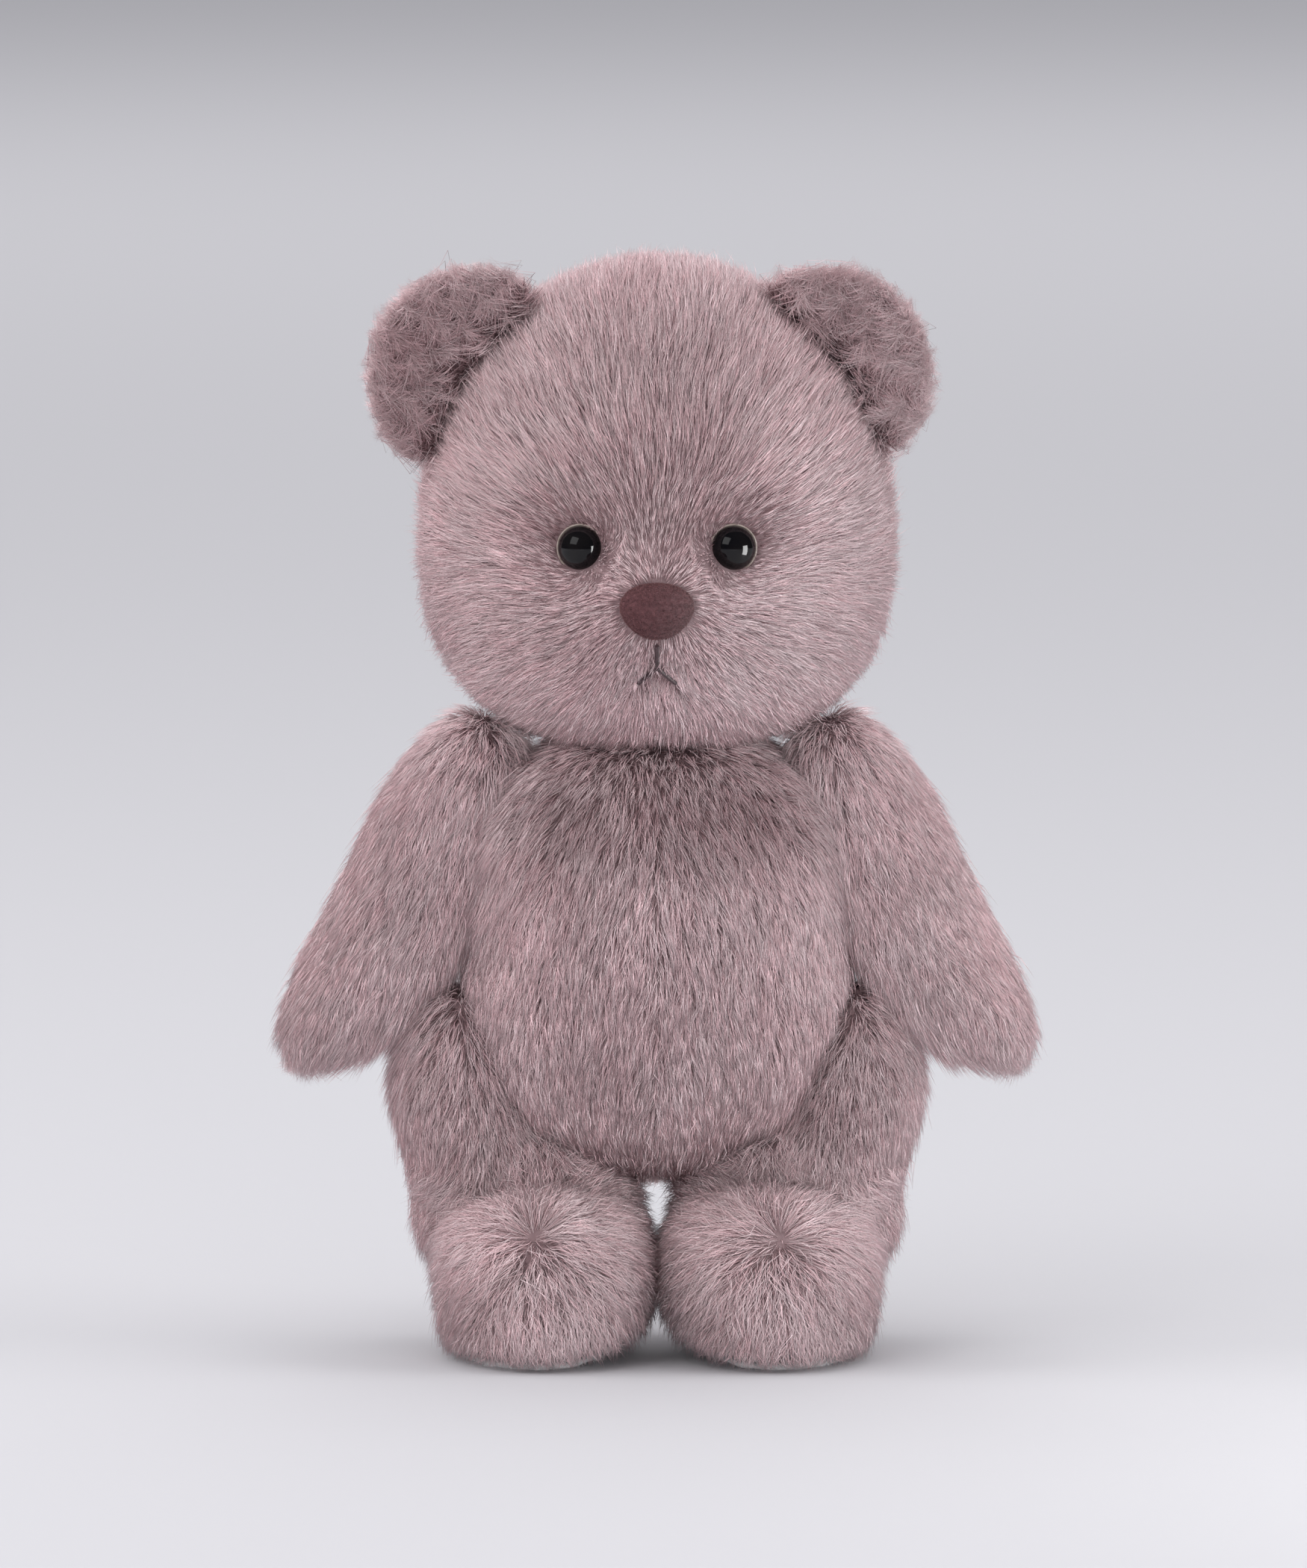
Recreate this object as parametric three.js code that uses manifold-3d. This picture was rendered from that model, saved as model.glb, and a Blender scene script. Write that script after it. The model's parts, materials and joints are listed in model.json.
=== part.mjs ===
// Jointed teddy bear, about 300 mm tall, standing on its own two feet.
// Millimetres, +Z up. The bear faces -Y, and its own left side is +X. The origin is on the floor,
// in the middle of the finished bear. Until the end everything is placed about the neck's axis.
// Head, arms and legs each turn on a disc joint: a bolt through two discs, one on each side of the
// two layers of fur fabric, drawn together by a lock nut inside the torso.
import * as THREE from "three";
import { mergeVertices } from "three/addons/utils/BufferGeometryUtils.js";
import Module from "manifold-3d";

// Fabric and fits
const WALL = 4; // backing cloth and the dense part of its pile
const STUFFING_CLEARANCE = 0.5;
const JOINT_GAP = 0.8; // between two skins where they turn on each other
const FIT_GAP = 0.4; // between pieces that touch on the real bear

// Torso, an egg that narrows downwards
const TORSO = {
  centreZ: 107,
  halfWidth: 51,
  halfDepth: 45,
  rise: 68,
  drop: 59,
  topPower: 2.3,
  bottomPower: 1.95,
};

// Head, measured from its widest level
const HEAD = {
  centreZ: 222,
  halfWidth: 63,
  halfDepth: 55,
  rise: 73.5,
  drop: 57.5,
  cheekPower: 2.55,
};
const MUZZLE = { z: 203, halfWidth: 27, halfHeight: 19, reach: 13 };
const EYE = { x: 20.7, z: 222, radius: 6.35, height: 5.1, back: -1, turn: 0.22 };
const RIM = { radius: EYE.radius + 0.5, thickness: 0.8 };
const SOCKET = { radius: 11, depth: 3.5 };
const NOSE = {
  z: 206.5,
  halfWidth: 9.9,
  halfHeight: 7.6,
  halfDepth: 6,
  forward: 2.5,
  taper: 0.18,
};
const MOUTH = { top: 197, fork: 190.5, end: 186, halfWidth: 5, threadRadius: 0.6 };
// The left ear is sewn on a little nearer the middle than the right one.
const EAR = {
  leftX: 44.5,
  rightX: 48.5,
  y: -10,
  z: 265,
  radius: 26,
  halfThickness: 8,
  cup: 6,
  turn: 0.1,
};
const FITTING = { shankRadius: 1.6, shankLength: 9, washerRadius: 5, washerThickness: 1.2 };

// Joints: tilt is how far the axis rises towards the limb, z is the height of the joint's centre,
// and flat is how deep the disc there presses the torso flat
const NECK_Z = 166.5;
const SHOULDER = { tilt: THREE.MathUtils.degToRad(24), z: 147, flat: 4 };
const HIP = { tilt: THREE.MathUtils.degToRad(-20), z: 82, flat: 1.2 };

// Arm, in its own frame: origin at the shoulder joint, x away from the torso, z up along the arm
const ARM = {
  x: 16.6,
  z: -31,
  halfThickness: 16.5,
  halfWidth: 18.5,
  halfLength: 52.5,
  power: 2.55,
  bendStart: -25,
  bendOut: 6.5,
  bendForward: 6,
  shoulderStart: -15,
  shoulderIn: 3,
};

// Leg: a thigh beside the torso, a calf that reaches in under it, and the foot
const THIGH = {
  x: 54.5,
  y: 1,
  z: 62,
  halfThickness: 15.5,
  halfWidth: 24,
  halfLength: 40,
  power: 2.5,
  bowZ: 74,
  bow: 0.007,
};
const CALF = { x: 36, y: 1, z: 41, halfWidth: 27.5, halfDepth: 22, halfHeight: 23, power: 2.5 };
const UNDER_TORSO_GAP = 1.5;
const FOOT = {
  x: 30.8,
  y: -18,
  z: 22,
  halfWidth: 26.8,
  halfLength: 37,
  halfHeight: 23,
  topPower: 2.2,
  bottomPower: 4,
};
const SOLE = {
  halfWidth: 21,
  halfLength: 29,
  thickness: 1.8,
  gap: 1,
  flatFromX: 26,
  riseRun: 20,
  rise: 8,
  edgePower: 8,
};
const INSOLE = { x: 36, halfWidth: 14, halfLength: 25, z: 7.3, thickness: 1.5 };

// Joint hardware
const LIMB_DISC = { radius: 11, thickness: 2.5 };
const NECK_DISC = { radius: 15, thickness: 2.5 };
const WASHER = { radius: 7, thickness: 1 };
const BOLT = { radius: 2, headRadius: 3.8, headHeight: 2.8, boreRadius: 2.4, spare: 1.5 };
const NUT = { acrossCorners: 8.1, height: 4 };

// How finely each kind of surface is divided
const HEAD_DETAIL = { around: 26, along: 16 };
const TORSO_DETAIL = { around: 22, along: 12 };
const ARM_DETAIL = { around: 16, along: 12 };
const LEG_DETAIL = { around: 16, along: 10 };
const EAR_DETAIL = { around: 20, along: 10 };
const TRIM_DETAIL = { around: 16, along: 8 };
const INSIDE_DETAIL = { around: 12, along: 7 };
const TURNED_SIDES = 12;
const CUTTER_MARGIN = 40; // how far a cutter runs past what it cuts

const FINISHES = {
  fur: { color: 0xa98f95, roughness: 0.95, metalness: 0 },
  stuffing: { color: 0xf2efe9, roughness: 1, metalness: 0 },
  sole: { color: 0xe6e2df, roughness: 0.9, metalness: 0 },
  thread: { color: 0x4a3338, roughness: 0.8, metalness: 0 },
  flock: { color: 0x6b454b, roughness: 0.95, metalness: 0 },
  eye: { color: 0x0a0909, roughness: 0.08, metalness: 0 },
  rim: { color: 0x8d7468, roughness: 0.4, metalness: 0 },
  plastic: { color: 0xdedbd4, roughness: 0.6, metalness: 0 },
  board: { color: 0x8a6a48, roughness: 0.9, metalness: 0 },
  steel: { color: 0xb9bcc0, roughness: 0.35, metalness: 1 },
};

const LEFT = 1;
const RIGHT = -1;
const SIDES = { left: LEFT, right: RIGHT };

const wasm = await Module();
wasm.setup();

// ---------------------------------------------------------------- solids and meshes

// A closed geometry as a solid, with its shared vertices merged.
function solidFrom(geometry, matrix = new THREE.Matrix4()) {
  const bare = geometry.clone().applyMatrix4(matrix);
  bare.deleteAttribute("normal");
  bare.deleteAttribute("uv");
  const merged = mergeVertices(bare, 1e-4);
  return new wasm.Manifold(
    new wasm.Mesh({
      numProp: 3,
      vertProperties: merged.getAttribute("position").array,
      triVerts: new Uint32Array(merged.index.array),
    }),
  );
}

function geometryFrom(solid) {
  const { vertProperties, triVerts } = solid.getMesh();
  const geometry = new THREE.BufferGeometry();
  geometry.setAttribute("position", new THREE.BufferAttribute(vertProperties, 3));
  geometry.setIndex(new THREE.BufferAttribute(triVerts, 1));
  geometry.computeVertexNormals();
  return geometry;
}

function cutAll(solid, cutters) {
  return cutters.reduce((left, cutter) => left.subtract(cutter), solid);
}

// A named mesh with a material of its own.
function piece(name, geometry, finish, matrix = new THREE.Matrix4()) {
  const mesh = new THREE.Mesh(geometry, new THREE.MeshStandardMaterial(FINISHES[finish]));
  mesh.name = name;
  mesh.applyMatrix4(matrix);
  return mesh;
}

// A frame at a point whose +Z runs along a direction.
function frameAt(position, direction) {
  const turn = new THREE.Quaternion().setFromUnitVectors(new THREE.Vector3(0, 0, 1), direction);
  return new THREE.Matrix4().compose(position, turn, new THREE.Vector3(1, 1, 1));
}

// ---------------------------------------------------------------- round soft forms

// A sphere whose points a shape function moves. The function works on the bear's left side, and
// side mirrors what it makes.
function roundForm({ around, along }, side, shape) {
  const sphere = new THREE.SphereGeometry(1, around, along).rotateX(Math.PI / 2);
  sphere.deleteAttribute("normal");
  sphere.deleteAttribute("uv");
  const form = mergeVertices(sphere);
  const position = form.getAttribute("position");
  const point = new THREE.Vector3();
  for (let i = 0; i < position.count; i++) {
    point.fromBufferAttribute(position, i).normalize();
    point.x *= side;
    shape(point);
    position.setXYZ(i, point.x * side, point.y, point.z);
  }
  return form;
}

// Pushes a unit point out to a superellipsoid that is round seen from above.
function swell(point, power) {
  const across = Math.hypot(point.x, point.y);
  const size = (across ** power + Math.abs(point.z) ** power) ** (1 / power);
  point.divideScalar(size);
}

function bump(across, along) {
  return Math.exp(-(across ** 2) - along ** 2);
}

// Moves a point that lies past a plane back onto it.
function flatten(point, plane, inset) {
  const past = plane.distanceToPoint(point) + inset;
  if (past > 0) point.addScaledVector(plane.normal, -past);
}

// ---------------------------------------------------------------- torso and joint frames

function eggPoint(point, inset) {
  swell(point, point.z < 0 ? TORSO.bottomPower : TORSO.topPower);
  point.x *= TORSO.halfWidth - inset;
  point.y *= TORSO.halfDepth - inset;
  point.z *= (point.z > 0 ? TORSO.rise : TORSO.drop) - inset;
  point.z += TORSO.centreZ;
}

// How far the torso's egg reaches in a direction, measured from the origin.
function torsoReach(direction) {
  const egg = roundForm(TORSO_DETAIL, LEFT, (point) => eggPoint(point, 0)).getAttribute("position");
  const point = new THREE.Vector3();
  let reach = -Infinity;
  for (let i = 0; i < egg.count; i++) {
    reach = Math.max(reach, point.fromBufferAttribute(egg, i).dot(direction));
  }
  return reach;
}

// A limb joint's centre and direction: its plane presses the torso's side flat.
function limbJoint(side, { tilt, z, flat }) {
  const direction = new THREE.Vector3(side * Math.cos(tilt), 0, Math.sin(tilt));
  const reach = torsoReach(direction) - flat;
  const position = new THREE.Vector3((side * (reach - z * Math.sin(tilt))) / Math.cos(tilt), 0, z);
  return { position, direction };
}

const JOINTS = {
  neck: { position: new THREE.Vector3(0, 0, NECK_Z), direction: new THREE.Vector3(0, 0, 1) },
  shoulder_left: limbJoint(LEFT, SHOULDER),
  shoulder_right: limbJoint(RIGHT, SHOULDER),
  hip_left: limbJoint(LEFT, HIP),
  hip_right: limbJoint(RIGHT, HIP),
};

// The plane that bounds a skin at a joint: sign 1 for the torso's side, -1 for the limb's.
function skinPlane({ position, direction }, sign) {
  const normal = direction.clone().multiplyScalar(sign);
  const edge = position.clone().addScaledVector(normal, -JOINT_GAP / 2);
  return new THREE.Plane().setFromNormalAndCoplanarPoint(normal, edge);
}

const TORSO_PLANES = Object.values(JOINTS).map((joint) => skinPlane(joint, 1));

function torsoForm(inset, detail) {
  const form = roundForm(detail, LEFT, (point) => {
    eggPoint(point, inset);
    TORSO_PLANES.forEach((plane) => flatten(point, plane, inset));
  });
  return solidFrom(form);
}

// ---------------------------------------------------------------- head

const NECK_PLANE = skinPlane(JOINTS.neck, -1);

function headGeometry(inset, detail) {
  return roundForm(detail, LEFT, (point) => {
    const front = Math.max(0, -point.y);
    swell(point, point.z < 0 ? HEAD.cheekPower : 2);
    point.x *= HEAD.halfWidth - inset;
    point.y *= HEAD.halfDepth - inset;
    point.z *= (point.z > 0 ? HEAD.rise : HEAD.drop) - inset;
    point.z += HEAD.centreZ;
    const muzzle = bump(point.x / MUZZLE.halfWidth, (point.z - MUZZLE.z) / MUZZLE.halfHeight);
    const fromEye = (Math.abs(point.x) - EYE.x) / SOCKET.radius;
    const socket = bump(fromEye, (point.z - EYE.z) / SOCKET.radius);
    point.y += front * (SOCKET.depth * socket - MUZZLE.reach * muzzle);
    flatten(point, NECK_PLANE, inset);
  });
}

const headSurface = new THREE.Mesh(
  headGeometry(0, HEAD_DETAIL),
  new THREE.MeshBasicMaterial({ side: THREE.DoubleSide }),
);

// The point of the face straight behind a place seen from the front.
function facePoint(x, z) {
  const start = new THREE.Vector3(x, -2 * HEAD.halfDepth, z);
  const ray = new THREE.Raycaster(start, new THREE.Vector3(0, 1, 0));
  return ray.intersectObject(headSurface)[0].point;
}

function eyeFrame(side) {
  const direction = new THREE.Vector3(side * Math.sin(EYE.turn), -Math.cos(EYE.turn), 0);
  return frameAt(facePoint(side * EYE.x, EYE.z), direction);
}

const noseSeat = facePoint(0, NOSE.z);
const noseFrame = frameAt(noseSeat, new THREE.Vector3(0, -1, 0));

// A ring or a plain rod turned about +Z, from one height to another.
function turned(inner, outer, low, high) {
  const corners = [
    new THREE.Vector2(inner, low),
    new THREE.Vector2(outer, low),
    new THREE.Vector2(outer, high),
    new THREE.Vector2(inner, high),
  ];
  if (inner > 0) corners.push(corners[0].clone());
  return new THREE.LatheGeometry(corners, TURNED_SIDES).rotateX(Math.PI / 2);
}

// The room that a shank and its washer take up behind a face fitting.
function fittingPocket(frame) {
  const washer = turned(
    0,
    FITTING.washerRadius + FIT_GAP,
    -FITTING.shankLength - 2 * FIT_GAP,
    -WALL - FIT_GAP,
  );
  const bore = turned(0, FITTING.shankRadius + FIT_GAP, -FITTING.shankLength, FITTING.shankLength);
  return solidFrom(washer, frame).add(solidFrom(bore, frame));
}

function fittingWasher(name, frame) {
  const low = -WALL - 2 * FIT_GAP - FITTING.washerThickness;
  const high = low + FITTING.washerThickness;
  const ring = turned(FITTING.shankRadius + FIT_GAP / 2, FITTING.washerRadius, low, high);
  return piece(name, ring, "plastic", frame);
}

// A half-round eye on a shank. Its back is sunk below the pile.
function eyeGeometry() {
  const dome = new THREE.Path();
  dome.moveTo(0, -FITTING.shankLength);
  dome.lineTo(FITTING.shankRadius, -FITTING.shankLength);
  dome.lineTo(FITTING.shankRadius, EYE.back);
  dome.lineTo(EYE.radius, EYE.back);
  dome.absellipse(0, EYE.back, EYE.radius, EYE.height, 0, Math.PI / 2, false);
  const profile = dome.getPoints(3);
  profile[profile.length - 1].x = 0;
  return new THREE.LatheGeometry(profile, TRIM_DETAIL.around).rotateX(Math.PI / 2);
}

// The thin plate behind an eye, which shows as a fine ring round it.
function rimGeometry() {
  const high = EYE.back - FIT_GAP / 2;
  return turned(FITTING.shankRadius + FIT_GAP / 2, RIM.radius, high - RIM.thickness, high);
}

function eyeSeat(frame) {
  const low = EYE.back - RIM.thickness - 2 * FIT_GAP;
  return solidFrom(turned(0, RIM.radius + FIT_GAP, low, CUTTER_MARGIN), frame);
}

// The nose's button, in its seat's frame, larger by grow all round.
function noseButton(grow) {
  const button = roundForm(TRIM_DETAIL, LEFT, (point) => {
    const taper = 1 + NOSE.taper * point.z;
    point.x *= (NOSE.halfWidth + grow) * taper;
    point.y = point.y * (NOSE.halfDepth + grow) - NOSE.forward;
    point.z *= NOSE.halfHeight + grow;
    point.add(noseSeat);
  });
  return solidFrom(button);
}

function nose() {
  const shank = turned(0, FITTING.shankRadius, -FITTING.shankLength, 0);
  return noseButton(0).add(solidFrom(shank, noseFrame));
}

// One straight stitch that lies just clear of the face between two places.
function stitch(from, to) {
  const points = [0, 0.5, 1].map((share) => {
    const x = THREE.MathUtils.lerp(from[0], to[0], share);
    const z = THREE.MathUtils.lerp(from[1], to[1], share);
    return facePoint(x, z).add(new THREE.Vector3(0, -MOUTH.threadRadius - FIT_GAP, 0));
  });
  const section = new THREE.Shape().absarc(0, 0, MOUTH.threadRadius, 0, 2 * Math.PI);
  const tube = new THREE.ExtrudeGeometry(section, {
    extrudePath: new THREE.CatmullRomCurve3(points),
    steps: 3,
    curveSegments: 3,
  });
  return solidFrom(tube);
}

function mouthThread() {
  const fork = [0, MOUTH.fork];
  return stitch([0, MOUTH.top], fork)
    .add(stitch(fork, [MOUTH.halfWidth, MOUTH.end]))
    .add(stitch(fork, [-MOUTH.halfWidth, MOUTH.end]));
}

// A cupped half disc that grows out of the head.
function ear(side) {
  const x = side === LEFT ? EAR.leftX : EAR.rightX;
  const form = roundForm(EAR_DETAIL, side, (point) => {
    const fromMiddle = point.x ** 2 + point.z ** 2;
    const hollow = point.y < 0 ? EAR.cup * (1 - fromMiddle) : 0;
    point.set(
      point.x * EAR.radius,
      point.y * EAR.halfThickness + hollow * Math.abs(point.y),
      point.z * EAR.radius,
    );
    point.applyAxisAngle(new THREE.Vector3(0, 0, 1), EAR.turn);
    point.add(new THREE.Vector3(x, EAR.y, EAR.z));
  });
  return solidFrom(form).subtract(solidFrom(headGeometry(-FIT_GAP, HEAD_DETAIL)));
}

// ---------------------------------------------------------------- arm, leg and foot

function armForm(side) {
  const { position, direction } = limbJoint(LEFT, SHOULDER);
  const up = new THREE.Vector3(-direction.z, 0, direction.x);
  const plane = skinPlane(JOINTS.shoulder_left, -1);
  return (inset, detail) => {
    const form = roundForm(detail, side, (point) => {
      swell(point, ARM.power);
      const x = point.x * (ARM.halfThickness - inset);
      const y = point.y * (ARM.halfWidth - inset);
      const z = point.z * (ARM.halfLength - inset) + ARM.z;
      const bend = (Math.max(0, ARM.bendStart - z) / ARM.halfLength) ** 2;
      const shoulder = (Math.max(0, z - ARM.shoulderStart) / ARM.halfLength) ** 2;
      const out = x + ARM.x + ARM.bendOut * bend - ARM.shoulderIn * shoulder;
      point.copy(position).addScaledVector(direction, out);
      point.addScaledVector(up, z);
      point.y += y - ARM.bendForward * bend;
      flatten(point, plane, inset);
    });
    return solidFrom(form);
  };
}

// Height of the sole's underside: flat under the outer foot, rising towards the inner edge.
function soleHeight(x) {
  return SOLE.rise * (Math.max(0, SOLE.flatFromX - x) / SOLE.riseRun) ** 2;
}

function thighForm(side, inset, detail) {
  const plane = skinPlane(JOINTS.hip_left, -1);
  return roundForm(detail, side, (point) => {
    swell(point, THIGH.power);
    point.x *= THIGH.halfThickness - inset;
    point.y *= THIGH.halfWidth - inset;
    point.z *= THIGH.halfLength - inset;
    point.add(new THREE.Vector3(THIGH.x, THIGH.y, THIGH.z));
    point.x -= THIGH.bow * (point.z - THIGH.bowZ) ** 2;
    flatten(point, plane, inset);
  });
}

function calfForm(side, inset, detail) {
  return roundForm(detail, side, (point) => {
    swell(point, CALF.power);
    point.x *= CALF.halfWidth - inset;
    point.y *= CALF.halfDepth - inset;
    point.z *= CALF.halfHeight - inset;
    point.add(new THREE.Vector3(CALF.x, CALF.y, CALF.z));
  });
}

function footForm(side, inset, detail) {
  return roundForm(detail, side, (point) => {
    swell(point, point.z < 0 ? FOOT.bottomPower : FOOT.topPower);
    point.x *= FOOT.halfWidth - inset;
    point.y *= FOOT.halfLength - inset;
    point.z *= FOOT.halfHeight - inset;
    point.add(new THREE.Vector3(FOOT.x, FOOT.y, FOOT.z));
    const floor = soleHeight(point.x) + SOLE.thickness + SOLE.gap + inset;
    point.z = Math.max(point.z, floor);
  });
}

function legForm(side) {
  return (inset, detail) => {
    const egg = roundForm(TORSO_DETAIL, LEFT, (point) => eggPoint(point, -UNDER_TORSO_GAP - inset));
    const calf = solidFrom(calfForm(side, inset, detail)).subtract(solidFrom(egg));
    const thigh = solidFrom(thighForm(side, inset, detail));
    return thigh.add(calf).add(solidFrom(footForm(side, inset, detail)));
  };
}

function solePad(side) {
  return roundForm(TRIM_DETAIL, side, (point) => {
    swell(point, SOLE.edgePower);
    const x = FOOT.x + point.x * SOLE.halfWidth;
    const thickness = point.z > 0 ? SOLE.thickness : 0;
    point.set(x, FOOT.y + point.y * SOLE.halfLength, soleHeight(x) + thickness);
  });
}

// An oval plate inside the foot, grown by a margin all round.
function insolePlate(side, grow) {
  const outline = new THREE.Shape();
  const halfWidth = INSOLE.halfWidth + grow;
  outline.absellipse(side * INSOLE.x, FOOT.y, halfWidth, INSOLE.halfLength + grow, 0, 2 * Math.PI);
  const depth = INSOLE.thickness + 2 * grow;
  const plate = new THREE.ExtrudeGeometry(outline, { depth, bevelEnabled: false, curveSegments: 8 });
  return plate.translate(0, 0, INSOLE.z - grow);
}

// ---------------------------------------------------------------- disc joints

// Places along a joint's axis, from its mid plane outwards; both sides of the joint are alike.
function discStack(disc) {
  const discStart = JOINT_GAP / 2 + WALL + FIT_GAP;
  const washerStart = discStart + disc.thickness + FIT_GAP;
  const fastenerStart = washerStart + WASHER.thickness + FIT_GAP;
  return { discStart, washerStart, fastenerStart };
}

// The room a joint's hardware takes up inside both bodies: a drum for each disc and its washer and
// fastener, and the bore for the bolt between them.
function jointPocket(joint, disc, sign) {
  const { discStart, fastenerStart } = discStack(disc);
  const far = fastenerStart + NUT.height + BOLT.spare + FIT_GAP;
  const near = discStart - FIT_GAP / 2;
  const drum = sign > 0 ? [near, far] : [-far, -near];
  const frame = frameAt(joint.position, joint.direction);
  const bore = turned(0, BOLT.boreRadius, -far, far);
  return solidFrom(turned(0, disc.radius + FIT_GAP, ...drum), frame).add(solidFrom(bore, frame));
}

function ring(outer, start, thickness, sign) {
  const ends = [sign * start, sign * (start + thickness)].sort((a, b) => a - b);
  return turned(BOLT.boreRadius, outer, ...ends);
}

function boltGeometry({ fastenerStart }) {
  const tip = -(fastenerStart + NUT.height + BOLT.spare);
  const profile = [
    new THREE.Vector2(0, tip),
    new THREE.Vector2(BOLT.radius, tip),
    new THREE.Vector2(BOLT.radius, fastenerStart),
    new THREE.Vector2(BOLT.headRadius, fastenerStart),
    new THREE.Vector2(BOLT.headRadius, fastenerStart + BOLT.headHeight),
    new THREE.Vector2(0, fastenerStart + BOLT.headHeight),
  ];
  return new THREE.LatheGeometry(profile, TURNED_SIDES).rotateX(Math.PI / 2);
}

function nutGeometry({ fastenerStart }) {
  const radius = NUT.acrossCorners / 2;
  const hexagon = new THREE.CylinderGeometry(radius, radius, NUT.height, 6).rotateX(Math.PI / 2);
  hexagon.translate(0, 0, -fastenerStart - NUT.height / 2);
  const bore = turned(0, BOLT.boreRadius, -CUTTER_MARGIN, CUTTER_MARGIN);
  return geometryFrom(solidFrom(hexagon).subtract(solidFrom(bore)));
}

// Adds one joint's six pieces, three to each of the two bodies, and the bolt to the limb.
function addDiscJoint(jointName, limbWord, disc, limbGroup, torsoGroup) {
  const joint = JOINTS[jointName];
  const frame = frameAt(joint.position, joint.direction);
  const stack = discStack(disc);
  const add = (group, name, geometry, finish) =>
    group.add(piece(`${jointName}_${name}`, geometry, finish, frame));
  const discRing = (sign) => ring(disc.radius, stack.discStart, disc.thickness, sign);
  const washerRing = (sign) => ring(WASHER.radius, stack.washerStart, WASHER.thickness, sign);
  add(limbGroup, `${limbWord}_disc`, discRing(1), "plastic");
  add(limbGroup, `${limbWord}_washer`, washerRing(1), "steel");
  add(limbGroup, "bolt", boltGeometry(stack), "steel");
  add(torsoGroup, "body_disc", discRing(-1), "plastic");
  add(torsoGroup, "body_washer", washerRing(-1), "steel");
  add(torsoGroup, "lock_nut", nutGeometry(stack), "steel");
}

// ---------------------------------------------------------------- assembly

// A body's fur skin, hollow and pierced by its cutters, and the stuffing that fills it.
function addSoftBody(group, name, form, detail, cutters) {
  const skin = cutAll(form(0, detail).subtract(form(WALL, INSIDE_DETAIL)), cutters);
  const stuffing = cutAll(form(WALL + STUFFING_CLEARANCE, INSIDE_DETAIL), cutters);
  group.add(piece(`${name}_fur_skin`, geometryFrom(skin), "fur"));
  group.add(piece(`${name}_stuffing`, geometryFrom(stuffing), "stuffing"));
}

function torso() {
  const group = new THREE.Group();
  const cutters = Object.entries(JOINTS).map(([name, joint]) =>
    jointPocket(joint, name === "neck" ? NECK_DISC : LIMB_DISC, -1),
  );
  addSoftBody(group, "torso", torsoForm, TORSO_DETAIL, cutters);
  return group;
}

function head(torsoGroup) {
  const group = new THREE.Group();
  const form = (inset, detail) => solidFrom(headGeometry(inset, detail));
  const eyeFrames = Object.entries(SIDES).map(([word, side]) => [word, eyeFrame(side)]);
  const cutters = [
    jointPocket(JOINTS.neck, NECK_DISC, 1),
    fittingPocket(noseFrame),
    noseButton(FIT_GAP),
    ...eyeFrames.flatMap(([, frame]) => [fittingPocket(frame), eyeSeat(frame)]),
  ];
  addSoftBody(group, "head", form, HEAD_DETAIL, cutters);
  for (const [word, frame] of eyeFrames) {
    group.add(piece(`eye_${word}`, eyeGeometry(), "eye", frame));
    group.add(piece(`eye_rim_${word}`, rimGeometry(), "rim", frame));
    group.add(fittingWasher(`eye_washer_${word}`, frame));
    group.add(piece(`ear_${word}`, geometryFrom(ear(SIDES[word])), "fur"));
  }
  group.add(piece("nose", geometryFrom(nose()), "flock"));
  group.add(fittingWasher("nose_washer", noseFrame));
  group.add(piece("mouth_thread", geometryFrom(mouthThread()), "thread"));
  addDiscJoint("neck", "head", NECK_DISC, group, torsoGroup);
  return group;
}

function arm(word, side, torsoGroup) {
  const group = new THREE.Group();
  const joint = `shoulder_${word}`;
  const cutters = [jointPocket(JOINTS[joint], LIMB_DISC, 1)];
  addSoftBody(group, `arm_${word}`, armForm(side), ARM_DETAIL, cutters);
  addDiscJoint(joint, "arm", LIMB_DISC, group, torsoGroup);
  return group;
}

function leg(word, side, torsoGroup) {
  const group = new THREE.Group();
  const joint = `hip_${word}`;
  const cutters = [jointPocket(JOINTS[joint], LIMB_DISC, 1)];
  cutters.push(solidFrom(insolePlate(side, FIT_GAP)));
  addSoftBody(group, `leg_${word}`, legForm(side), LEG_DETAIL, cutters);
  group.add(piece(`sole_pad_${word}`, solePad(side), "sole"));
  group.add(piece(`insole_board_${word}`, insolePlate(side, 0), "board"));
  addDiscJoint(joint, "leg", LIMB_DISC, group, torsoGroup);
  return group;
}

const bear = new THREE.Group();
const torsoGroup = torso();
bear.add(torsoGroup, head(torsoGroup));
for (const [word, side] of Object.entries(SIDES)) {
  bear.add(arm(word, side, torsoGroup), leg(word, side, torsoGroup));
}

// The snout reaches further forward than the back of the head does behind, so the whole bear moves
// back until the origin is in the middle.
const middle = new THREE.Box3().setFromObject(bear, true).getCenter(new THREE.Vector3());
bear.position.y = -middle.y;

export default bear;
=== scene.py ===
"""The looks of a jointed teddy bear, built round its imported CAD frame. Lengths are in metres.

Each soft body gets a skin of its own, swollen by cloth simulation from the CAD skin's outside, and
fur of modelled tapered strands that grow from that skin. The bear faces -Y, and its own left side
is +X."""

import json
import math

import bmesh
import bpy
import numpy as np
from mathutils import Matrix, Vector, noise
from mathutils.kdtree import KDTree

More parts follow.
